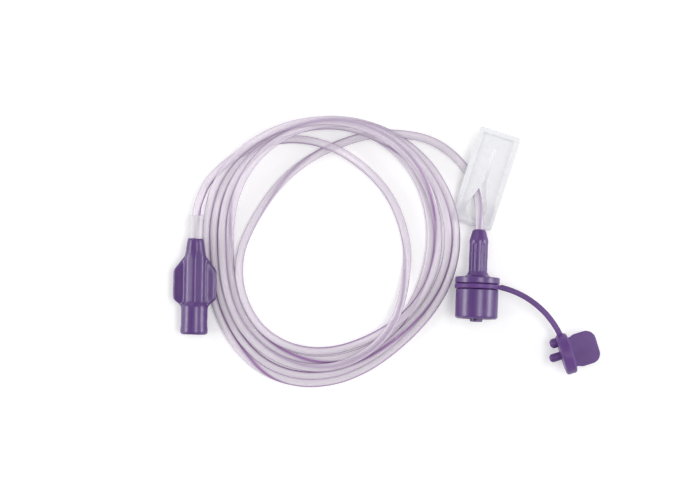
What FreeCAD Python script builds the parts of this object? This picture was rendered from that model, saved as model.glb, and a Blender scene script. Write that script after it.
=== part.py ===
import FreeCAD, Part
import math
import os

# Enteral extension set as it lies on a table, in millimetres.
# X runs to the right, Y away from the reader and Z up from the surface it lies on.
# A coil of fine clear tube joins a winged socket connector on the left
# to a collared plug connector on the right, which carries a tethered cap.
# A slide clamp is threaded on the tube just before the collared connector.

# Tube
TUBE_D = 2.5
RUN_SHARE = 0.45

# Winged socket connector, measured from its mouth
WING_MOUTH = (-58.6, -25.9)
WING_YAW = -1.1
SOCKET_R = 2.75
SOCKET_DEPTH = 9.0
END_R = 4.1
END_LENGTH = 9.8
LIP_R = 4.3
LIP_LENGTH = 2.1
STEP_LENGTH = 0.5
BODY_R = 3.25
BODY_LENGTH = 14.3
NOSE_R = 2.45
NOSE_LENGTH = 5.8
FLOW_R = 0.8
WING_HALF_SPAN = 6.8
WING_THICK = 1.5
WING_START = 8.0
WING_FLAT_START = 10.8
WING_FLAT_END = 19.7
WING_END = 24.4
WING_CORNER_R = 1.8
WING_EDGE = 0.4
RIB_COUNT = 3
RIB_SPREAD = 50.0
RIB_R = 0.7
RIB_HEIGHT = 0.3
RIB_TAPER = 1.2

# Clear sleeve that holds the tube in the winged connector
SLEEVE_WALL = 0.85
SLEEVE_FREE = 6.6
SLEEVE_SEAT = 3.5
TUBE_SEAT = 1.0

# Collared plug connector, measured from the mouth of its collar
PLUG_MOUTH = (27.5, -20.9)
PLUG_YAW = -2.2
PLUG_PITCH = -3.0
TIP_R = 1.95
TIP_PROUD = 0.9
TIP_BORE_R = 0.95
COLLAR_R = 6.5
COLLAR_WALL = 1.2
COLLAR_LENGTH = 9.0
COLLAR_FLOOR = 1.4
LUG_COUNT = 2
LUG_HEIGHT = 0.6
LUG_WIDTH = 1.2
LUG_START = 1.2
LUG_ANGLE = 70.0
GROOVE_R = 5.2
GROOVE_WIDTH = 1.7
FLANGE_R = 6.8
FLANGE_THICK = 2.0
STEM_R = 2.9
STEM_LENGTH = 14.6
STEM_ROOT_R = 1.6
STEM_NOSE_R = 2.1
STEM_NOSE_LENGTH = 3.4
FLUTE_COUNT = 6
FLUTE_R = 0.75
FLUTE_DEPTH = 0.3
FLUTE_LENGTH = 8.6
PLUG_TUBE_SEAT = 3.0

# Tether ring, strap and cap, one soft moulding
RING_R = 6.9
RING_CLEARANCE = 0.12
RING_SIDE_CLEARANCE = 0.15
STRAP_WIDTH = 1.7
STRAP_THICK = 1.5
STRAP_MIDDLE = (45.2, -16.1)
STRAP_ROOT_LENGTH = 0.7
CAP_CENTRE = (55.1, -31.6)
CAP_TURN = 17.3
CAP_R = 6.3
CAP_THICK = 3.4
CAP_EDGE = 0.5
CAP_PIN_R = 1.3
CAP_PIN_LENGTH = 3.7
CAP_LUG_R = 1.5
CAP_LUG_LENGTH = 2.3
CAP_LUG_OFFSET = 4.2
TAB_LENGTH = 8.2
TAB_WIDTH = 10.2
TAB_THICK = 1.8
TAB_CORNER_R = 3.0

# Slide clamp, measured from the lower end that touches the surface
CLAMP_END = (26.2, 8.1)
CLAMP_TURN = -17.7
CLAMP_PITCH = 12.0
CLAMP_LENGTH = 30.0
CLAMP_WIDTH = 13.0
CLAMP_THICK = 2.4
CLAMP_CORNER_R = 1.0
CLAMP_RIM = 1.3
CLAMP_WEB = 0.8
CLAMP_TOP_RECESS = 0.6
HOLE_START = 2.4
HOLE_R = 3.0
HOLE_APEX = 13.6
SLIT_END = 24.3
SLIT_WIDTH = 1.0
CLAMP_TRAVEL = 7.0

# Coil, as radii of its outer and inner edge about its centre, every 30 degrees
# counter-clockwise from the right
COIL_CENTRE = (-15.5, -0.6)
COIL_OUTER = (38.0, 39.8, 41.0, 41.7, 42.7, 43.1, 41.1, 41.4, 43.4, 40.5, 36.0, 35.5)
COIL_INNER = (20.6, 21.3, 24.4, 30.2, 26.0, 24.6, 27.4, 30.3, 30.8, 28.5, 26.7, 23.0)
COIL_HEIGHT = 7.2
COIL_GAP = 0.35
# How far up the clamp's edge the coil's turns lie over it at the end of its travel
CLAMP_COIL_REACH = 12.0

# Tube between the winged connector and the coil, hand-placed after its seat
LEAD_POINTS = (
    (-57.77, 17.5, 4.3),
    (-41.9, 31.4, 2.0),
)
# Tube between the coil and the collared connector, hand-placed up to its seat
TAIL_POINTS = (
    (2.9, 36.0, 2.2),
    (19.7, 32.5, 1.3),
    (28.7, 16.5, 1.3),
)
# How far the tube runs straight out of the collared connector
TAIL_STRAIGHT = 2.8

V = FreeCAD.Vector
Y_AXIS = V(0, 1, 0)
Z_AXIS = V(0, 0, 1)
TUBE_R = TUBE_D / 2.0
NOSE_START = END_LENGTH + BODY_LENGTH
WINGED_LENGTH = NOSE_START + NOSE_LENGTH
SLEEVE_R = TUBE_R + SLEEVE_WALL
SLEEVE_START = WINGED_LENGTH - SLEEVE_SEAT
GROOVE_START = COLLAR_LENGTH
FLANGE_START = GROOVE_START + GROOVE_WIDTH
STEM_START = FLANGE_START + FLANGE_THICK
PLUG_LENGTH = STEM_START + STEM_LENGTH


def turned(outline):
    """Solid of revolution about Y from (radius, station) corners."""
    points = [V(r, s, 0) for r, s in outline]
    face = Part.Face(Part.makePolygon(points + [points[0]]))
    return face.revolve(V(0, 0, 0), Y_AXIS, 360)


def rod(radius, start, length):
    """Round rod along Y."""
    return Part.makeCylinder(radius, length, V(0, start, 0), Y_AXIS)


def rounded_plate(points, radius, low, thick):
    """Flat plate of a closed outline in XY with each corner rounded."""
    corners = [V(x, y, low) for x, y in points]
    count = len(corners)
    starts, ends, edges = [], [], []
    for i, corner in enumerate(corners):
        back = (corners[i - 1] - corner).normalize()
        ahead = (corners[(i + 1) % count] - corner).normalize()
        half = back.getAngle(ahead) / 2.0
        reach = radius / math.tan(half)
        middle = (back + ahead).normalize()
        centre = corner + middle * (radius / math.sin(half))
        starts.append(corner + back * reach)
        ends.append(corner + ahead * reach)
        bend = Part.Arc(starts[i], centre - middle * radius, ends[i])
        edges.append(bend.toShape())
    loop = []
    for i, bend in enumerate(edges):
        loop.append(bend)
        loop.append(Part.LineSegment(ends[i], starts[(i + 1) % count]).toShape())
    wire = Part.Wire(Part.__sortEdges__(loop))
    return Part.Face(wire).extrude(Z_AXIS * thick)


def place(shape, turn, pitch, where):
    """Pitch a shape about its own X, turn it about Z and put it in its place."""
    moved = shape.copy()
    moved.rotate(V(0, 0, 0), V(1, 0, 0), pitch)
    moved.rotate(V(0, 0, 0), Z_AXIS, turn)
    moved.translate(where)
    return moved


def direction(turn, pitch):
    """Where local +Y points after the same pitch and turn."""
    flat = math.cos(math.radians(pitch))
    lean = math.radians(turn)
    return V(-math.sin(lean) * flat, math.cos(lean) * flat, math.sin(math.radians(pitch)))


WINGED_AT = V(WING_MOUTH[0], WING_MOUTH[1], LIP_R)
WINGED_AXIS = direction(WING_YAW, 0)
PLUG_AXIS = direction(PLUG_YAW, PLUG_PITCH)
RING_STATION = GROOVE_START + GROOVE_WIDTH / 2.0
PLUG_LIFT = FLANGE_R * math.cos(math.radians(PLUG_PITCH)) - PLUG_AXIS.z * STEM_START
PLUG_AT = V(PLUG_MOUTH[0], PLUG_MOUTH[1], PLUG_LIFT)
RING_CENTRE = PLUG_AT + PLUG_AXIS * RING_STATION
STRAP_START_R = RING_R + STRAP_ROOT_LENGTH


def winged_connector():
    """Socket connector with two flat wings."""
    body = turned((
        (0, 0),
        (LIP_R - STEP_LENGTH, 0),
        (LIP_R, STEP_LENGTH),
        (LIP_R, LIP_LENGTH),
        (END_R, LIP_LENGTH + LIP_R - END_R),
        (END_R, END_LENGTH - STEP_LENGTH),
        (BODY_R, END_LENGTH),
        (BODY_R, NOSE_START),
        (NOSE_R, WINGED_LENGTH),
        (0, WINGED_LENGTH),
    ))
    half = (
        (0, WING_START),
        (BODY_R, WING_START),
        (WING_HALF_SPAN, WING_FLAT_START),
        (WING_HALF_SPAN, WING_FLAT_END),
        (BODY_R, WING_END),
        (0, WING_END),
    )
    outline = [(x, s) for x, s in half[1:-1]] + [(-x, s) for x, s in reversed(half[1:-1])]
    wings = rounded_plate(outline, WING_CORNER_R, -WING_THICK / 2.0, WING_THICK)
    rims = [e for e in wings.Edges if abs(e.BoundBox.ZLength) < WING_THICK / 2.0]
    body = body.fuse(wings.makeChamfer(WING_EDGE, rims))
    for face_angle in (90, 270):
        for i in range(RIB_COUNT):
            body = body.fuse(body_rib(face_angle + (i - (RIB_COUNT - 1) / 2.0) * RIB_SPREAD))
    body = body.cut(rod(SOCKET_R, 0, SOCKET_DEPTH))
    body = body.cut(rod(FLOW_R, 0, WINGED_LENGTH))
    return body.cut(rod(SLEEVE_R, SLEEVE_START, WINGED_LENGTH)).removeSplitter()


def body_rib(angle):
    """One lengthwise rib of the body, tapering into the nose."""
    start = END_LENGTH - STEP_LENGTH
    length = NOSE_START - start
    middle = BODY_R + RIB_HEIGHT - RIB_R
    rib = Part.makeCylinder(RIB_R, length, V(middle, start, 0), Y_AXIS)
    taper = Part.makeCone(RIB_R, RIB_R - RIB_HEIGHT, RIB_TAPER, V(middle, NOSE_START, 0), Y_AXIS)
    rib = rib.fuse(taper)
    rib.rotate(V(0, 0, 0), Y_AXIS, -angle)
    return rib


def tube_sleeve():
    """Clear sleeve round the tube where it leaves the winged connector."""
    outer = rod(SLEEVE_R, SLEEVE_START, SLEEVE_SEAT + SLEEVE_FREE)
    return outer.cut(rod(TUBE_R, SLEEVE_START, SLEEVE_SEAT + SLEEVE_FREE))


def collared_connector():
    """Plug connector with a tip inside a collar, a ring groove and a fluted stem."""
    body = turned((
        (0, 0),
        (COLLAR_R - STEP_LENGTH, 0),
        (COLLAR_R, STEP_LENGTH),
        (COLLAR_R, GROOVE_START),
        (GROOVE_R, GROOVE_START),
        (GROOVE_R, FLANGE_START),
        (FLANGE_R, FLANGE_START),
        (FLANGE_R, STEM_START),
        (STEM_R + STEM_ROOT_R, STEM_START),
        (STEM_R + STEM_ROOT_R / 3.0, STEM_START + STEM_ROOT_R / 3.0),
        (STEM_R, STEM_START + STEM_ROOT_R),
        (STEM_R, PLUG_LENGTH - STEM_NOSE_LENGTH),
        (STEM_NOSE_R, PLUG_LENGTH - STEP_LENGTH),
        (STEM_NOSE_R - STEP_LENGTH, PLUG_LENGTH),
        (0, PLUG_LENGTH),
    ))
    inner_r = COLLAR_R - COLLAR_WALL
    body = body.cut(rod(inner_r, 0, COLLAR_LENGTH - COLLAR_FLOOR))
    for i in range(LUG_COUNT):
        body = body.fuse(thread_lug(inner_r, i * 360.0 / LUG_COUNT))
    body = body.fuse(rod(TIP_R, -TIP_PROUD, TIP_PROUD + COLLAR_LENGTH))
    for i in range(FLUTE_COUNT):
        body = body.cut(flute(i * 360.0 / FLUTE_COUNT))
    body = body.cut(rod(TIP_BORE_R, -TIP_PROUD, TIP_PROUD + PLUG_LENGTH))
    return body.cut(rod(TUBE_R, PLUG_LENGTH - PLUG_TUBE_SEAT, PLUG_TUBE_SEAT)).removeSplitter()


def thread_lug(inner_r, start_angle):
    """One short thread start inside the collar."""
    corners = (
        (inner_r + COLLAR_WALL / 2.0, LUG_START),
        (inner_r - LUG_HEIGHT, LUG_START + LUG_HEIGHT / 2.0),
        (inner_r - LUG_HEIGHT, LUG_START + LUG_WIDTH - LUG_HEIGHT / 2.0),
        (inner_r + COLLAR_WALL / 2.0, LUG_START + LUG_WIDTH),
    )
    points = [V(r, s, 0) for r, s in corners]
    face = Part.Face(Part.makePolygon(points + [points[0]]))
    lug = face.revolve(V(0, 0, 0), Y_AXIS, LUG_ANGLE)
    lug.rotate(V(0, 0, 0), Y_AXIS, start_angle)
    return lug


def flute(angle):
    """Cutter for one lengthwise flute of the stem."""
    start = STEM_START + STEM_ROOT_R
    cutter = Part.makeCylinder(FLUTE_R, FLUTE_LENGTH, V(STEM_R - FLUTE_DEPTH + FLUTE_R, start, 0), Y_AXIS)
    cutter.rotate(V(0, 0, 0), Y_AXIS, angle)
    return cutter


def cap_tether():
    """Ring in the connector's groove, strap and cap."""
    ring_width = GROOVE_WIDTH - 2 * RING_SIDE_CLEARANCE
    ring = rod(RING_R, -ring_width / 2.0, ring_width)
    ring = ring.cut(rod(GROOVE_R + RING_CLEARANCE, -ring_width, 2 * ring_width))
    ring = place(ring, PLUG_YAW, PLUG_PITCH, RING_CENTRE)
    root = Part.makeBox(STRAP_START_R - GROOVE_R - RING_CLEARANCE, ring_width, STRAP_THICK)
    root.translate(V(GROOVE_R + RING_CLEARANCE, -ring_width / 2.0, -STRAP_THICK / 2.0))
    root = place(root, PLUG_YAW, PLUG_PITCH, RING_CENTRE)
    return ring.fuse(root).fuse(strap()).fuse(cap()).removeSplitter()


def cap():
    """Closing cap that stands on its edge, with its pin, lug and grip tab."""
    face = CAP_THICK / 2.0
    disc = turned((
        (0, -face),
        (CAP_R - CAP_EDGE, -face),
        (CAP_R, -face + CAP_EDGE),
        (CAP_R, face - CAP_EDGE),
        (CAP_R - CAP_EDGE, face),
        (0, face),
    ))
    pin = stud(CAP_PIN_R, face - CAP_EDGE, face + CAP_PIN_LENGTH)
    lug = stud(CAP_LUG_R, face - CAP_EDGE, face + CAP_LUG_LENGTH)
    lug.translate(V(CAP_LUG_OFFSET, 0, 0))
    root = -face
    half = TAB_WIDTH / 2.0
    near = root + CAP_EDGE
    far = root - TAB_LENGTH
    outline = ((-half, near), (half, near), (half, far), (-half, far))
    tab = rounded_plate(outline, TAB_CORNER_R, -TAB_THICK / 2.0, TAB_THICK)
    neck = Part.makeBox(TAB_WIDTH - 2 * CAP_EDGE, TAB_CORNER_R + face, TAB_THICK)
    neck.translate(V(-half + CAP_EDGE, root - TAB_CORNER_R, -TAB_THICK / 2.0))
    whole = disc.fuse(pin).fuse(lug).fuse(tab).fuse(neck)
    return place(whole, 90.0 + CAP_TURN, 0, V(CAP_CENTRE[0], CAP_CENTRE[1], CAP_R))


def stud(radius, start, end):
    """Round stud along Y with a bevelled tip."""
    bevel = radius / 2.0
    return turned(((0, start), (radius, start), (radius, end - bevel), (radius - bevel, end), (0, end)))


def strap():
    """Flat strap in one arc from the ring's side to the cap's rim."""
    side = V(PLUG_AXIS.y, -PLUG_AXIS.x, 0).normalize()
    start = RING_CENTRE + side * (STRAP_START_R - STRAP_ROOT_LENGTH / 2.0)
    lean = math.radians(CAP_TURN)
    rim = V(-math.sin(lean), math.cos(lean), 0) * (CAP_R - CAP_THICK / 2.0)
    end = V(CAP_CENTRE[0], CAP_CENTRE[1], CAP_R) + rim
    middle = V(STRAP_MIDDLE[0], STRAP_MIDDLE[1], 0)
    low = RING_CENTRE.z - STRAP_THICK / 2.0
    circle = Part.Arc(V(start.x, start.y, 0), middle, V(end.x, end.y, 0)).toShape().Curve
    centre = circle.Center
    outlines = []
    for offset in (STRAP_WIDTH / 2.0, -STRAP_WIDTH / 2.0):
        points = []
        for point in (start, middle, end):
            spoke = V(point.x - centre.x, point.y - centre.y, 0)
            points.append(V(centre.x, centre.y, low) + spoke.normalize() * (circle.Radius + offset))
        outlines.append(points)
    outer, inner = outlines
    edges = [
        Part.Arc(*outer).toShape(),
        Part.LineSegment(outer[2], inner[2]).toShape(),
        Part.Arc(*inner).toShape(),
        Part.LineSegment(inner[0], outer[0]).toShape(),
    ]
    return Part.Face(Part.Wire(Part.__sortEdges__(edges))).extrude(Z_AXIS * STRAP_THICK)


def slide_clamp():
    """Plate with a thin web, a raised rim and a keyhole that pinches the tube."""
    half = CLAMP_WIDTH / 2.0
    plate = rounded_plate(
        ((-half, 0), (half, 0), (half, CLAMP_LENGTH), (-half, CLAMP_LENGTH)), CLAMP_CORNER_R, 0, CLAMP_THICK
    )
    inner = half - CLAMP_RIM
    far = CLAMP_LENGTH - CLAMP_RIM
    pocket = ((-inner, CLAMP_RIM), (inner, CLAMP_RIM), (inner, far), (-inner, far))
    web_low = CLAMP_THICK - CLAMP_TOP_RECESS - CLAMP_WEB
    for low, depth in ((0, web_low), (web_low + CLAMP_WEB, CLAMP_TOP_RECESS)):
        plate = plate.cut(rounded_plate(pocket, CLAMP_CORNER_R / 2.0, low, depth))
    plate = plate.cut(keyhole())
    return place(plate, CLAMP_TURN, CLAMP_PITCH, V(CLAMP_END[0], CLAMP_END[1], 0.02))


def keyhole():
    """Cutter for the teardrop hole and the slit that runs on from it."""
    centre = HOLE_START + HOLE_R
    half_slit = SLIT_WIDTH / 2.0
    spread = math.asin((HOLE_R - half_slit) / (HOLE_APEX - centre))
    touch_x = HOLE_R * math.cos(spread)
    touch_y = centre + HOLE_R * math.sin(spread)
    edges = [
        Part.Arc(V(touch_x, touch_y, 0), V(0, HOLE_START, 0), V(-touch_x, touch_y, 0)).toShape(),
        Part.LineSegment(V(-touch_x, touch_y, 0), V(-half_slit, HOLE_APEX, 0)).toShape(),
        Part.LineSegment(V(-half_slit, HOLE_APEX, 0), V(-half_slit, SLIT_END, 0)).toShape(),
        Part.Arc(V(-half_slit, SLIT_END, 0), V(0, SLIT_END + half_slit, 0), V(half_slit, SLIT_END, 0)).toShape(),
        Part.LineSegment(V(half_slit, SLIT_END, 0), V(half_slit, HOLE_APEX, 0)).toShape(),
        Part.LineSegment(V(half_slit, HOLE_APEX, 0), V(touch_x, touch_y, 0)).toShape(),
    ]
    return Part.Face(Part.Wire(Part.__sortEdges__(edges))).extrude(Z_AXIS * CLAMP_THICK)


def ring_outline(radii):
    """Closed chain of arcs through the coil's edge radii, taken two steps at a time."""
    points = []
    for i, radius in enumerate(radii):
        angle = 2 * math.pi * i / len(radii)
        points.append(V(COIL_CENTRE[0] + radius * math.cos(angle), COIL_CENTRE[1] + radius * math.sin(angle), 0))
    points.append(points[0])
    arcs = [Part.Arc(*points[i:i + 3]).toShape() for i in range(0, len(radii), 2)]
    return Part.Wire(arcs)


def tube_coil():
    """Closed solid of the coil's outer shape, with room for what lies under its turns."""
    disc = Part.Face(ring_outline(COIL_OUTER)).extrude(Z_AXIS * COIL_HEIGHT)
    eye = Part.Face(ring_outline(COIL_INNER)).extrude(Z_AXIS * COIL_HEIGHT)
    coil = disc.cut(eye)
    coil = coil.cut(wing_room())
    return coil.cut(clamp_room())


def wing_room():
    """Space for the connector, whose wing lies on the outermost turns."""
    wing_reach = WING_HALF_SPAN + COIL_GAP
    wing_low = -WING_THICK / 2.0 - COIL_GAP
    room = Part.makeBox(2 * wing_reach, WING_END - WING_START + 2 * COIL_GAP, COIL_HEIGHT)
    room.translate(V(-wing_reach, WING_START - COIL_GAP, wing_low))
    body_reach = BODY_R + COIL_GAP
    body_room = Part.makeBox(2 * body_reach, WINGED_LENGTH + SLEEVE_FREE + COIL_GAP, LIP_R + COIL_HEIGHT)
    body_room.translate(V(-body_reach, 0, -LIP_R))
    return place(room.fuse(body_room), WING_YAW, 0, WINGED_AT)


def clamp_room():
    """Space for the clamp's corner over its whole travel."""
    half = CLAMP_WIDTH / 2.0 + COIL_GAP
    low = -CLAMP_TRAVEL - CLAMP_THICK * math.sin(math.radians(CLAMP_PITCH)) - COIL_GAP
    rise = CLAMP_COIL_REACH * math.sin(math.radians(CLAMP_PITCH))
    tall = CLAMP_THICK + rise + COIL_GAP
    slot = Part.makeBox(2 * half, CLAMP_LENGTH - low, tall + 1.0)
    slot.translate(V(-half, low, -1.0))
    return place(slot, CLAMP_TURN, 0, V(CLAMP_END[0], CLAMP_END[1], 0))


def tube(name, route):
    """Round tube along straight runs joined by tangent arcs."""
    pieces = []
    length = 0.0
    last = route[0]
    for i in range(1, len(route) - 1):
        before, point, after = route[i - 1], route[i], route[i + 1]
        back = before - point
        ahead = after - point
        turn = math.pi - back.getAngle(ahead)
        reach = RUN_SHARE * min(back.Length, ahead.Length)
        radius = reach / math.tan(turn / 2.0)
        back.normalize()
        ahead.normalize()
        start = point + back * reach
        end = point + ahead * reach
        centre = point + (back + ahead).normalize() * (radius / math.cos(turn / 2.0))
        disc = Part.Face(Part.Wire(Part.makeCircle(TUBE_R, start, back * -1.0)))
        pieces.append(Part.makeCylinder(TUBE_R, (start - last).Length, last, start - last))
        pieces.append(disc.revolve(centre, ahead.cross(back), math.degrees(turn)))
        length += (start - last).Length + radius * turn
        last = end
        print(f"{name}: point {i} turns {math.degrees(turn):.1f} degrees on a radius of {radius:.1f} mm")
    pieces.append(Part.makeCylinder(TUBE_R, (route[-1] - last).Length, last, route[-1] - last))
    length += (route[-1] - last).Length
    solid = pieces[0].multiFuse(pieces[1:]).removeSplitter()
    ideal = math.pi * TUBE_R ** 2 * length
    print(f"{name}: length {length:.1f} mm, volume {solid.Volume:.1f} of {ideal:.1f} cubic mm")
    return solid


def lead_route():
    """From the seat in the winged connector to the coil."""
    seat = WINGED_AT + WINGED_AXIS * (WINGED_LENGTH - TUBE_SEAT)
    return [seat] + [V(*point) for point in LEAD_POINTS]


def tail_route():
    """From the coil, through the clamp's hole, to the seat in the collared connector."""
    mouth = PLUG_AT + PLUG_AXIS * PLUG_LENGTH
    seat = mouth - PLUG_AXIS * PLUG_TUBE_SEAT
    return [V(*point) for point in TAIL_POINTS] + [mouth + PLUG_AXIS * TAIL_STRAIGHT, seat]


def main():
    os.makedirs("parts", exist_ok=True)
    shapes = {
        "winged_connector": place(winged_connector(), WING_YAW, 0, WINGED_AT),
        "tube_sleeve": place(tube_sleeve(), WING_YAW, 0, WINGED_AT),
        "collared_connector": place(collared_connector(), PLUG_YAW, PLUG_PITCH, PLUG_AT),
        "cap_tether": cap_tether(),
        "slide_clamp": slide_clamp(),
        "tube_coil": tube_coil(),
        "tube_lead": tube("tube_lead", lead_route()),
        "tube_tail": tube("tube_tail", tail_route()),
    }
    for name, shape in shapes.items():
        if len(shape.Solids) == 1:
            shape = shape.Solids[0]
        box = shape.BoundBox
        print(
            f"{name}: {len(shape.Solids)} solid, valid {shape.isValid()}, "
            f"X {box.XMin:.2f} {box.XMax:.2f}, Y {box.YMin:.2f} {box.YMax:.2f}, Z {box.ZMin:.2f} {box.ZMax:.2f}"
        )
        shape.exportStep(f"parts/{name}.step")


main()
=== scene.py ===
"""Looks of the enteral extension set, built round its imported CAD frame.

Everything is in metres, in the frame's own axes: X right, Y away from the reader, Z up.
The tube is one spline from the winged connector, round the coil and through the clamp
to the collared connector. The mouldings are softened copies of their CAD nodes.
"""

import math
from bisect import bisect

import bpy
import numpy
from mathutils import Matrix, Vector


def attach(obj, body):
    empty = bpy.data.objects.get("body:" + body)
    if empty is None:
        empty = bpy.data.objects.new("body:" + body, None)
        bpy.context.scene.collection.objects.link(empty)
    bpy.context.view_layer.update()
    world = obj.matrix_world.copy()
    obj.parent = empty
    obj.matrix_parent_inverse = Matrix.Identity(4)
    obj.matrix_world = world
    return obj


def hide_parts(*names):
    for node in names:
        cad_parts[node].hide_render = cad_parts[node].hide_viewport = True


# Scale of the photograph, in its 700 by 486 pixel frame
MM = 0.001
MM_PER_PIXEL = 0.307
PHOTO_PIXELS = 700
# Camera, straight above the middle of the photograph
PHOTO_MIDDLE = (-0.0109, 0.0022)
PHOTO_WIDTH = PHOTO_PIXELS * MM_PER_PIXEL * MM
CAMERA_HEIGHT = 0.9
SENSOR = 36.0

# Tube
TUBE_D = 0.0025
TUBE_LENGTH = 1.2
TUBE_SIDES = 16
SPLINE_STEPS = 12
TUBE_REST = TUBE_D / 2

# The tube's route before the coil: seat, sleeve end, first bend
LEAD_POINTS = (
    (-0.05805, 0.0030, 0.0043),
    (-0.05790, 0.0110, 0.0043),
    (-0.05720, 0.0148, 0.0042),
)
# The coil as read off the photograph, one turn a block: the angle about the coil's
# centre in degrees, which falls by 360 a turn, and the radius of the tube's middle in pixels
COIL_CENTRE = (-0.0155, -0.0006)
COIL_READINGS = (
    (165, 142.5), (160, 143.5), (150, 143.8), (145, 142.0), (140, 139.3), (135, 137.0), (130, 133.5),
    (120, 127.5), (110, 120.0), (100, 112.0), (90, 103.5), (80, 95.0), (70, 89.0), (60, 83.5),
    (50, 79.5), (40, 76.0), (30, 73.5), (20, 72.0), (10, 71.5), (0, 72.0), (-10, 73.0), (-20, 75.0),
    (-30, 79.0), (-40, 84.5), (-50, 90.5), (-60, 97.0), (-70, 103.0), (-90, 113.5), (-120, 120.5),
    (-150, 117.5), (-180, 112.6),

    (-210, 121.0), (-240, 126.8), (-270, 126.0), (-300, 118.0), (-330, 104.5), (-360, 94.5),
    (-390, 92.5), (-420, 99.0), (-450, 106.5), (-480, 113.0), (-510, 110.0), (-540, 104.8),

    (-570, 113.5), (-600, 124.0), (-630, 128.5), (-660, 126.0), (-690, 119.0), (-720, 112.0),
    (-750, 104.5), (-780, 106.0), (-810, 120.5), (-840, 130.0), (-870, 124.0), (-900, 120.4),

    (-930, 128.5), (-960, 131.5), (-990, 132.0), (-1020, 129.8), (-1050, 126.0), (-1080, 120.0),
    (-1110, 112.5), (-1140, 113.5), (-1170, 128.0), (-1200, 138.0), (-1230, 132.0), (-1260, 128.0),

    (-1290, 136.0), (-1320, 135.0), (-1350, 130.0), (-1380, 122.0), (-1410, 110.5), (-1440, 102.0),
    (-1470, 96.0), (-1500, 92.0), (-1530, 97.5), (-1560, 105.0), (-1570, 105.5), (-1580, 105.0),
    (-1590, 103.0), (-1600, 100.5), (-1610, 97.5), (-1620, 94.0),

    (-1630, 90.0), (-1640, 87.0), (-1650, 85.5), (-1660, 86.0), (-1670, 87.0), (-1680, 90.0),
    (-1690, 94.0), (-1700, 99.5), (-1710, 106.5), (-1720, 114.0), (-1725, 118.5), (-1735, 128.5),
    (-1740, 134.0),
)
# The coil's control points: the angle of the first, how many there are in all and to a turn
COIL_START = 150.0
COIL_POINTS = 126
STEPS_PER_TURN = 24
# Share of a control point, and of each one beside it, in the tube's spline at that point
SPLINE_OWN = 0.75
SPLINE_SIDE = 0.125
# How the control points are fitted to the readings
FIT_ROUNDS = 60
FIT_SHARE = 0.5
# Steps of the lead that pass under every turn, and how high each turn lies in the pile
LEAD_STEPS = 4
LAYERS = (6, 2, 3, 1, 4, 0)
# Tube from the coil through the clamp's hole to its seat in the collared connector
TAIL_POINTS = (
    (0.0029, 0.0360, 0.0014),
    (0.0148, 0.0340, 0.0013),
    (0.0245, 0.0262, 0.0013),
    (0.0283, 0.0172, 0.0013),
    (0.02863, 0.00912, 0.0063),
    (0.02842, 0.00335, 0.0066),
)
# How the turns settle on each other
SQUEEZE = 0.95
SAG = 0.0005
SETTLE_ROUNDS = 400
# The clamp's lower left corner at the end of its travel, the direction of its edge,
# and the height of its upper face there
CLAMP_CORNER = (0.0179, 0.0034)
CLAMP_EDGE = (0.304, 0.953)
CLAMP_TOP = 0.0024
CLAMP_SLOPE = 0.208
CLAMP_GAP = 0.0003

# Tube's wall: its own tint square on, turning to a darker painted shade at its edges, how dense
# and how rough it is, the scale of its sheen and the strength of its ripple
WALL_TINT_AND_EDGE_SHADE = ((0.0, (0.93, 0.86, 0.95)), (0.40, (0.84, 0.74, 0.87)), (0.80, (0.44, 0.35, 0.49)))
WALL_BLEND = 0.5
WALL_ALPHA = (0.34, 0.97)
WALL_ROUGHNESS = (0.10, 0.22)
WALL_SHEEN = 300.0
RIPPLE_STRENGTH = 0.06
# Line in the wall: how fast it wanders round the tube, the part of the noise that moves it,
# where it wanders, in turns from the underside, where it fades off its middle, and how strong
LINE_DRIFT = 7.0
DRIFT_SEEN = (0.42, 0.58)
LINE_PLACE = (0.30, 0.69)
LINE_FADE = (0.02, 0.14)
LINE_STRENGTH = 0.92
# Stretches where the line shows strongest, as shares of the tube's length
DYED = ((0.0, 0.03), (0.25, 0.32), (0.45, 0.54), (0.65, 0.74), (0.84, 0.89))
DYE_FADE = 0.02
DYE_STRONG = (0.22, 0.07, 0.28)
DYE_FAINT = (0.40, 0.31, 0.45)

# Mouldings: grid of their softened copies, how near points are welded, and how far
# one smoothing round goes
VOXEL = 0.00016
WELD = 0.000002
SOFTEN = 0.5
# Purple plastics: their darker and lighter flow, where it turns, and the scale of their sheen
HARD_PURPLE = (0.062, 0.014, 0.142)
HARD_PURPLE_LIGHT = (0.086, 0.024, 0.178)
SOFT_PURPLE = (0.098, 0.037, 0.184)
SOFT_PURPLE_LIGHT = (0.126, 0.053, 0.226)
FLOW_ENDS = (0.3, 0.7)
FLOW_SCALE = 160.0
FLOW_DETAIL = 2.0
MOULDED_SHEEN = 420.0
# Translucent plastics: where face turns to edge, whose darker colour is painted shade, the cloud in
# them, the scale of their sheen and the strength of their frost
EDGE_BLEND = 0.45
EDGE_SHADE_ENDS = (0.1, 0.8)
CLOUD = ((0.2, (0.8, 0.8, 0.84)), (0.8, (1.0, 1.0, 1.0)))
CLOUD_SCALE = 240.0
CLOUD_SHARE = 0.15
HAZY_SHEEN = 500.0
FROST_STRENGTH = 0.15
# Fine reliefs: scale and detail of the noise, and its depth
GRAIN = (3000.0, 1.0, 0.00003)
FROST = (4200.0, 2.0, 0.00004)
RIPPLE = (500.0, 1.0, 0.00005)

# Floor: half its side, its grey and roughness, its glow near the object and far from it,
# and the distances between which the glow rises
FLOOR_REACH = 20.0
FLOOR_GREY = 0.86
FLOOR_ROUGHNESS = 0.9
NEAR_GLOW = 0.25
FAR_GLOW = 1.0
GLOW_RISE = (0.3, 0.8)
# World: its light at the horizon and overhead, and the height where it has faded
HORIZON_LIGHT = 1.0
OVERHEAD_LIGHT = 0.45
FADE_TOP = 0.6
WHITE = (1.0, 1.0, 1.0, 1.0)

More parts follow.
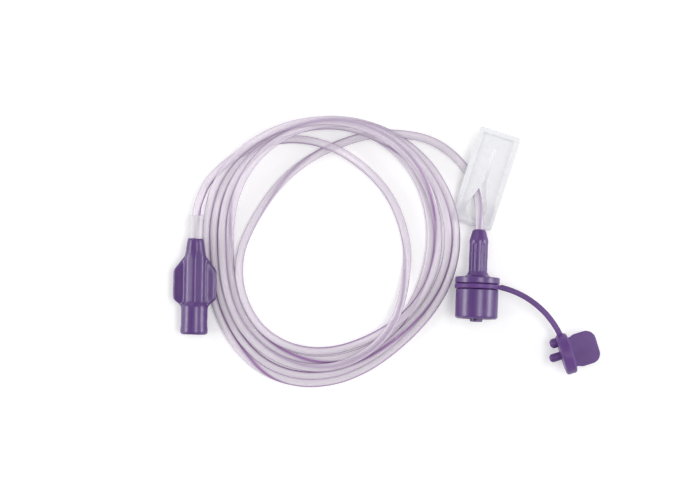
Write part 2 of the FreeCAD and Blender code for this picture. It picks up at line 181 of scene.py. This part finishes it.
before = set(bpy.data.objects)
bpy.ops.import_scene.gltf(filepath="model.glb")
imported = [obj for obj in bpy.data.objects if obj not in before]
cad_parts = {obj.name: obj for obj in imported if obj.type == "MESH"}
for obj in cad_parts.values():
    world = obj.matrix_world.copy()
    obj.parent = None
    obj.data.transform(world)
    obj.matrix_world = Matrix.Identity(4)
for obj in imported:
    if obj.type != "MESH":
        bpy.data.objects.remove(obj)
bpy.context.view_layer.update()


def smooth_curve(places, values):
    """Natural cubic spline through values at rising places, as a function of the place."""
    count = len(places)
    gaps = [b - a for a, b in zip(places, places[1:])]
    slopes = [(b - a) / gap for a, b, gap in zip(values, values[1:], gaps)]
    system = numpy.eye(count)
    bends = numpy.zeros(count)
    for i in range(1, count - 1):
        system[i, i - 1:i + 2] = gaps[i - 1], 2 * (gaps[i - 1] + gaps[i]), gaps[i]
        bends[i] = 6 * (slopes[i] - slopes[i - 1])
    bends = numpy.linalg.solve(system, bends)

    def at(place):
        i = min(max(bisect(places, place) - 1, 0), count - 2)
        gap, past, left = gaps[i], place - places[i], places[i + 1] - place
        curved = (bends[i] * left ** 3 + bends[i + 1] * past ** 3) / (6 * gap)
        start = values[i] / gap - bends[i] * gap / 6
        end = values[i + 1] / gap - bends[i + 1] * gap / 6
        return float(curved + start * left + end * past)

    return at


def coil_radii():
    """Radii of the coil's control points, to a tenth of a millimetre.

    They lie off the curve, so they are moved until the tube's quadratic spline passes
    through the radii that were read.
    """
    readings = sorted(COIL_READINGS)
    radius_at = smooth_curve([angle for angle, _ in readings], [radius for _, radius in readings])
    step = 360.0 / STEPS_PER_TURN
    wanted = [radius_at(COIL_START - i * step) for i in range(COIL_POINTS)]
    beside = SPLINE_SIDE * math.cos(math.radians(step))
    control = list(wanted)
    for _ in range(FIT_ROUNDS):
        back = control[:1] + control[:-1]
        ahead = control[1:] + control[-1:]
        control = [
            c + FIT_SHARE * (w - SPLINE_OWN * c - beside * (b + a))
            for c, w, b, a in zip(control, wanted, back, ahead)
        ]
    return [round(radius * MM_PER_PIXEL, 1) * MM for radius in control]


def clamp_floor(x, y):
    """Lowest height of the tube's middle over the clamp's swept corner."""
    dx, dy = x - CLAMP_CORNER[0], y - CLAMP_CORNER[1]
    inside = dx * CLAMP_EDGE[1] - dy * CLAMP_EDGE[0]
    up = dx * CLAMP_EDGE[0] + dy * CLAMP_EDGE[1]
    if inside < -TUBE_REST - CLAMP_GAP or up < -2 * TUBE_D:
        return TUBE_REST
    return CLAMP_TOP + CLAMP_SLOPE * max(up, 0.0) + CLAMP_GAP + TUBE_REST


def lift(gap):
    """How far one turn lies above another at that sideways gap, or None if beside it."""
    reach = TUBE_D * SQUEEZE
    if gap >= reach:
        return None
    return math.sqrt(reach * reach - gap * gap)


def layer(i):
    """Which layer of the pile a control point of the coil is in."""
    return -1 if i < LEAD_STEPS else LAYERS[i // STEPS_PER_TURN]


def crossing_gap(radii, i, j):
    """Least sideways gap of two turns within half a step of a control point."""
    last = len(radii) - 1
    gaps = []
    for side in (-1, 0, 1):
        a = radii[min(max(i + side, 0), last)]
        b = radii[min(max(j + side, 0), last)]
        gaps.append(a - b)
    halves = ((gaps[0] + gaps[1]) / 2, gaps[1], (gaps[1] + gaps[2]) / 2)
    if min(halves) < 0 < max(halves):
        return 0.0
    return min(abs(g) for g in halves)


def settle(radii, floors, start_height, end_height):
    """Heights of the turns' control points, each turn resting on those laid under it."""
    count = len(radii)
    below = [[] for _ in range(count)]
    for i in range(count):
        for j in range(i % STEPS_PER_TURN, count, STEPS_PER_TURN):
            rise = lift(crossing_gap(radii, i, j))
            if rise is not None and layer(j) < layer(i):
                below[i].append((j, rise))
    heights = list(floors)
    for _ in range(SETTLE_ROUNDS):
        for i in range(count):
            back = heights[i - 1] if i else start_height
            ahead = heights[i + 1] if i + 1 < count else end_height
            rest = max([floors[i]] + [heights[j] + rise for j, rise in below[i]])
            heights[i] = max(rest, (back + ahead) / 2 - SAG)
    return heights


def tube_route():
    """Control points of the whole tube."""
    radii = coil_radii()
    places, floors = [], []
    for i, radius in enumerate(radii):
        angle = math.radians(COIL_START - i * 360.0 / STEPS_PER_TURN)
        x = COIL_CENTRE[0] + radius * math.cos(angle)
        y = COIL_CENTRE[1] + radius * math.sin(angle)
        places.append((x, y))
        floors.append(clamp_floor(x, y))
    heights = settle(radii, floors, LEAD_POINTS[-1][2], TAIL_POINTS[0][2])
    coil = [(x, y, z) for (x, y), z in zip(places, heights)]
    return list(LEAD_POINTS) + coil + list(TAIL_POINTS)


def spline_points(control):
    """Points along the smooth NURBS spline of a route."""
    curve = bpy.data.curves.new("tube_route", "CURVE")
    curve.dimensions = "3D"
    curve.resolution_u = SPLINE_STEPS
    spline = curve.splines.new("NURBS")
    spline.points.add(len(control) - 1)
    for point, place in zip(spline.points, control):
        point.co = (*place, 1.0)
    spline.order_u = 3
    spline.use_endpoint_u = True
    holder = bpy.data.objects.new("tube_route", curve)
    bpy.context.scene.collection.objects.link(holder)
    bpy.context.view_layer.update()
    mesh = bpy.data.meshes.new_from_object(holder)
    points = [v.co.copy() for v in mesh.vertices]
    bpy.data.objects.remove(holder)
    bpy.data.meshes.remove(mesh)
    return points


def tube_mesh(name, points, radius, sides):
    """Round tube along points. U runs round it from its underside, V along it in metres."""
    vertices, faces, uvs = [], [], []
    count = len(points)
    run = [0.0]
    for a, b in zip(points, points[1:]):
        run.append(run[-1] + (b - a).length)
    for i, point in enumerate(points):
        ahead = points[min(i + 1, count - 1)] - points[max(i - 1, 0)]
        ahead.normalize()
        side = ahead.cross(Vector((0, 0, 1))).normalized()
        up = side.cross(ahead).normalized()
        for k in range(sides):
            turn = 2 * math.pi * k / sides
            vertices.append(point + (side * -math.sin(turn) - up * math.cos(turn)) * radius)
    for i in range(count - 1):
        near, far = i * sides, (i + 1) * sides
        for k in range(sides):
            beside = (k + 1) % sides
            faces.append((near + k, near + beside, far + beside, far + k))
            u0, u1 = k / sides, (k + 1) / sides
            uvs.extend(((u0, run[i]), (u1, run[i]), (u1, run[i + 1]), (u0, run[i + 1])))
    faces.append(tuple(reversed(range(sides))))
    faces.append(tuple(range((count - 1) * sides, count * sides)))
    uvs.extend([(0.0, 0.0)] * sides + [(0.0, run[-1])] * sides)
    mesh = bpy.data.meshes.new(name)
    mesh.from_pydata(vertices, [], faces)
    along = mesh.uv_layers.new(name="along")
    for loop, uv in zip(along.data, uvs):
        loop.uv = uv
    for face in mesh.polygons:
        face.use_smooth = len(face.vertices) == 4
    mesh.validate()
    made = bpy.data.objects.new(name, mesh)
    bpy.context.scene.collection.objects.link(made)
    return made


class Nodes:
    """A material's node tree, with short calls to add and join nodes."""

    def __init__(self, name):
        self.material = bpy.data.materials.new(name)
        self.material.use_nodes = True
        self.tree = self.material.node_tree
        self.shader = self.tree.nodes["Principled BSDF"]

    def add(self, kind, **values):
        """New node, with its sockets and settings given by name."""
        node = self.tree.nodes.new(kind)
        for key, value in values.items():
            if key in node.inputs:
                node.inputs[key].default_value = value
            else:
                setattr(node, key, value)
        return node

    def join(self, source, target):
        """Link an output to a socket, or write a plain number in it."""
        if isinstance(source, float):
            target.default_value = source
        else:
            self.tree.links.new(source, target)

    def shade(self, source, name):
        """Join a value to one of the shader's sockets."""
        self.join(source, self.shader.inputs[name])

    def ramp(self, factor, stops):
        """Colour that changes with a value, from places and colours."""
        stops = list(stops)
        node = self.add("ShaderNodeValToRGB")
        elements = node.color_ramp.elements
        while len(elements) < len(stops):
            elements.new(0.5)
        for element, (place, colour) in zip(elements, stops):
            element.position = place
            element.color = (*colour, 1.0)
        self.join(factor, node.inputs["Fac"])
        return node.outputs["Color"]

    def span(self, value, reach, seen=(0.0, 1.0), smooth=False):
        """Value that runs over a reach while the first one runs over what is seen of it."""
        steps = "SMOOTHSTEP" if smooth else "LINEAR"
        node = self.add("ShaderNodeMapRange", interpolation_type=steps)
        for name, end in zip(("From Min", "From Max", "To Min", "To Max"), (*seen, *reach)):
            node.inputs[name].default_value = end
        self.join(value, node.inputs["Value"])
        return node.outputs["Result"]

    def maths(self, operation, *terms, clamp=False):
        """Result of an operation on outputs or plain numbers."""
        node = self.add("ShaderNodeMath", operation=operation, use_clamp=clamp)
        for term, socket in zip(terms, node.inputs):
            self.join(term, socket)
        return node.outputs["Value"]

    def mix(self, factor, first, second, blend="MIX"):
        """Two colours blended by a value."""
        node = self.add("ShaderNodeMix", data_type="RGBA", blend_type=blend)
        self.join(factor, node.inputs["Factor"])
        self.join(first, node.inputs["A"])
        self.join(second, node.inputs["B"])
        return node.outputs["Result"]

    def noise(self, scale, detail=3.0):
        """Smooth noise in the object's own space."""
        node = self.add("ShaderNodeTexNoise", Scale=scale, Detail=detail)
        self.join(self.add("ShaderNodeTexCoord").outputs["Object"], node.inputs["Vector"])
        return node.outputs["Fac"]

    def facing(self, blend):
        """How far the surface turns away from the eye."""
        return self.add("ShaderNodeLayerWeight", Blend=blend).outputs["Facing"]

    def sheen(self, scale, reach):
        """Uneven roughness over a reach."""
        self.shade(self.span(self.noise(scale), reach), "Roughness")

    def relief(self, kind, strength):
        """Fine relief of one kind in the shader's normal."""
        scale, detail, depth = kind
        node = self.add("ShaderNodeBump", Strength=strength, Distance=depth)
        self.join(self.noise(scale, detail), node.inputs["Height"])
        self.shade(node.outputs["Normal"], "Normal")


def moulded_plastic(name, dark, light, gloss, roughness, grain):
    """Satin moulded plastic: faint flow mottling, uneven gloss and a fine moulded grain."""
    nodes = Nodes(name)
    flow = nodes.noise(FLOW_SCALE, FLOW_DETAIL)
    nodes.shade(nodes.ramp(flow, zip(FLOW_ENDS, (dark, light))), "Base Color")
    nodes.shade(gloss, "Specular IOR Level")
    nodes.sheen(MOULDED_SHEEN, roughness)
    nodes.relief(GRAIN, grain)
    return nodes.material


def translucent_plastic(name, face, edge, alpha, roughness):
    """Thin translucent plastic: paler where it is seen square on, denser at its edges, where its
    colour also darkens as painted shade.
    """
    nodes = Nodes(name)
    facing = nodes.facing(EDGE_BLEND)
    # Darker colour towards the edges is painted shade; the higher alpha there is the denser plastic
    tint_and_edge_shade = nodes.ramp(facing, zip(EDGE_SHADE_ENDS, (face, edge)))
    cloud = nodes.ramp(nodes.noise(CLOUD_SCALE), CLOUD)
    nodes.shade(nodes.mix(CLOUD_SHARE, tint_and_edge_shade, cloud, "MULTIPLY"), "Base Color")
    nodes.shade(nodes.span(facing, alpha), "Alpha")
    nodes.sheen(HAZY_SHEEN, roughness)
    nodes.relief(FROST, FROST_STRENGTH)
    return nodes.material


def clear_tubing():
    """Clear soft tubing with a purple line drawn into one side of its wall."""
    nodes = Nodes("clear_tubing")
    facing = nodes.facing(WALL_BLEND)
    place = nodes.add("ShaderNodeSeparateXYZ")
    nodes.join(nodes.add("ShaderNodeUVMap", uv_map="along").outputs["UV"], place.inputs["Vector"])
    round_tube, along = place.outputs["X"], place.outputs["Y"]
    drift = nodes.add("ShaderNodeTexNoise", Scale=LINE_DRIFT, Detail=0.0, noise_dimensions="1D")
    nodes.join(along, drift.inputs["W"])
    middle = nodes.span(drift.outputs["Fac"], LINE_PLACE, DRIFT_SEEN, smooth=True)
    away = nodes.maths("ABSOLUTE", nodes.maths("SUBTRACT", round_tube, middle))
    stripe = nodes.span(away, (LINE_STRENGTH, 0.0), LINE_FADE, smooth=True)
    stops = []
    for start, end in DYED:
        stops.append((max(start - DYE_FADE, 0.0), DYE_FAINT))
        stops.extend(((start, DYE_STRONG), (end, DYE_STRONG), (end + DYE_FADE, DYE_FAINT)))
    dye = nodes.ramp(nodes.maths("DIVIDE", along, TUBE_LENGTH), stops)
    # Base colour: the wall's own tint, darkened towards the edges as painted shade, and the purple
    # line
    nodes.shade(nodes.mix(stripe, nodes.ramp(facing, WALL_TINT_AND_EDGE_SHADE), dye), "Base Color")
    nodes.shade(nodes.maths("MAXIMUM", nodes.span(facing, WALL_ALPHA), stripe), "Alpha")
    nodes.sheen(WALL_SHEEN, WALL_ROUGHNESS)
    nodes.relief(RIPPLE, RIPPLE_STRENGTH)
    return nodes.material


def moulding(node, body, material, rounds):
    """Copy of a CAD node with the softened edges of a moulding."""
    holder = bpy.data.objects.new(node + "_soft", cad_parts[node].data.copy())
    bpy.context.scene.collection.objects.link(holder)
    holder.modifiers.new("weld", "WELD").merge_threshold = WELD
    remesh = holder.modifiers.new("remesh", "REMESH")
    remesh.mode = "VOXEL"
    remesh.voxel_size = VOXEL
    soften = holder.modifiers.new("soften", "SMOOTH")
    soften.factor = SOFTEN
    soften.iterations = rounds
    bpy.context.view_layer.update()
    dressed = holder.evaluated_get(bpy.context.evaluated_depsgraph_get())
    shape = bpy.data.meshes.new_from_object(dressed)
    bpy.data.objects.remove(holder)
    shape.materials.clear()
    shape.materials.append(material)
    for face in shape.polygons:
        face.use_smooth = True
    piece = bpy.data.objects.new(node + "_moulding", shape)
    bpy.context.scene.collection.objects.link(piece)
    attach(piece, body)
    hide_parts(node)


def pale_floor():
    """Floor's material: it keeps its shadows near the object and is plain white far from it."""
    paint = Nodes("pale_floor")
    paint.shader.inputs["Base Color"].default_value = (FLOOR_GREY, FLOOR_GREY, FLOOR_GREY, 1.0)
    paint.shade(FLOOR_ROUGHNESS, "Roughness")
    paint.shade(0.0, "Specular IOR Level")
    rays = paint.add("ShaderNodeLightPath").outputs
    through = paint.maths("ADD", rays["Is Glossy Ray"], rays["Is Transmission Ray"])
    seen = paint.maths("ADD", rays["Is Camera Ray"], through)
    away = paint.add("ShaderNodeVectorMath", operation="LENGTH")
    paint.join(paint.add("ShaderNodeTexCoord").outputs["Object"], away.inputs[0])
    glow = paint.span(away.outputs["Value"], (NEAR_GLOW, FAR_GLOW), GLOW_RISE)
    level = paint.maths("MULTIPLY", seen, glow, clamp=True)
    paint.shader.inputs["Emission Color"].default_value = WHITE
    paint.shade(level, "Emission Strength")
    return paint.material


def studio_world():
    """World that is white at the horizon and dimmer overhead."""
    world = bpy.data.worlds.new("studio")
    world.use_nodes = True
    sky = world.node_tree
    background = sky.nodes["Background"]
    background.inputs["Color"].default_value = WHITE
    height = sky.nodes.new("ShaderNodeSeparateXYZ")
    sky.links.new(sky.nodes.new("ShaderNodeTexCoord").outputs["Generated"], height.inputs["Vector"])
    fade = sky.nodes.new("ShaderNodeMapRange")
    fade.inputs["From Max"].default_value = FADE_TOP
    fade.inputs["To Min"].default_value = HORIZON_LIGHT
    fade.inputs["To Max"].default_value = OVERHEAD_LIGHT
    sky.links.new(height.outputs["Z"], fade.inputs["Value"])
    sky.links.new(fade.outputs["Result"], background.inputs["Strength"])
    return world


def lamp(name, place, width, length, power):
    """Soft lamp that points at the coil, its length level."""
    data = bpy.data.lights.new(name, "AREA")
    data.shape = "RECTANGLE"
    data.size = length
    data.size_y = width
    data.energy = power
    made = bpy.data.objects.new(name, data)
    made.location = place
    made.rotation_mode = "QUATERNION"
    made.rotation_quaternion = (-Vector(place)).to_track_quat("-Z", "Y")
    bpy.context.scene.collection.objects.link(made)


# Tube
line = spline_points(tube_route())
tube = tube_mesh("feeding_tube", line, TUBE_D / 2, TUBE_SIDES)
tube.data.materials.append(clear_tubing())
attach(tube, "set")
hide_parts("tube_lead", "tube_coil", "tube_tail")

# Mouldings
hard_purple = moulded_plastic(
    "hard_purple", HARD_PURPLE, HARD_PURPLE_LIGHT, gloss=0.85, roughness=(0.29, 0.37), grain=0.03)
soft_purple = moulded_plastic(
    "soft_purple", SOFT_PURPLE, SOFT_PURPLE_LIGHT, gloss=0.3, roughness=(0.34, 0.42), grain=0.12)
# The edge colours below are painted shade at the sides of the clamp and the sleeve
milky = translucent_plastic(
    "milky_clamp", face=(0.92, 0.92, 0.945), edge=(0.76, 0.79, 0.84), alpha=(0.82, 0.97),
    roughness=(0.22, 0.34))
frosted = translucent_plastic(
    "frosted_sleeve", face=(0.93, 0.90, 0.94), edge=(0.68, 0.63, 0.70), alpha=(0.42, 0.9),
    roughness=(0.18, 0.30))
moulding("winged_connector", "set", hard_purple, rounds=160)
moulding("collared_connector", "set", hard_purple, rounds=12)
moulding("cap_tether", "tether", soft_purple, rounds=6)
moulding("slide_clamp", "clamp", milky, rounds=4)
moulding("tube_sleeve", "set", frosted, rounds=3)

# Floor
corners = [(x * FLOOR_REACH, y * FLOOR_REACH, 0) for x, y in ((-1, -1), (1, -1), (1, 1), (-1, 1))]
mesh = bpy.data.meshes.new("floor")
mesh.from_pydata(corners, [], [(0, 1, 2, 3)])
floor = bpy.data.objects.new("floor", mesh)
bpy.context.scene.collection.objects.link(floor)
floor.data.materials.append(pale_floor())

# Light
bpy.context.scene.world = studio_world()
lamp("key", place=(-0.45, 0.70, 0.75), width=0.4, length=0.4, power=0.8)
lamp("strip_over", place=(0.28, 0.0, 0.95), width=0.24, length=0.6, power=3.0)
lamp("strip_left", place=(-0.90, 0.0, 0.35), width=0.30, length=0.6, power=3.7)
lamp("strip_right", place=(0.92, 0.0, 0.32), width=0.30, length=0.6, power=3.7)

# Camera
camera_data = bpy.data.cameras.new("camera")
camera_data.sensor_width = SENSOR
camera_data.lens = SENSOR * CAMERA_HEIGHT / PHOTO_WIDTH
camera = bpy.data.objects.new("camera", camera_data)
camera.location = (*PHOTO_MIDDLE, CAMERA_HEIGHT)
bpy.context.scene.collection.objects.link(camera)
bpy.context.scene.camera = camera
bpy.context.scene.view_settings.view_transform = "Standard"
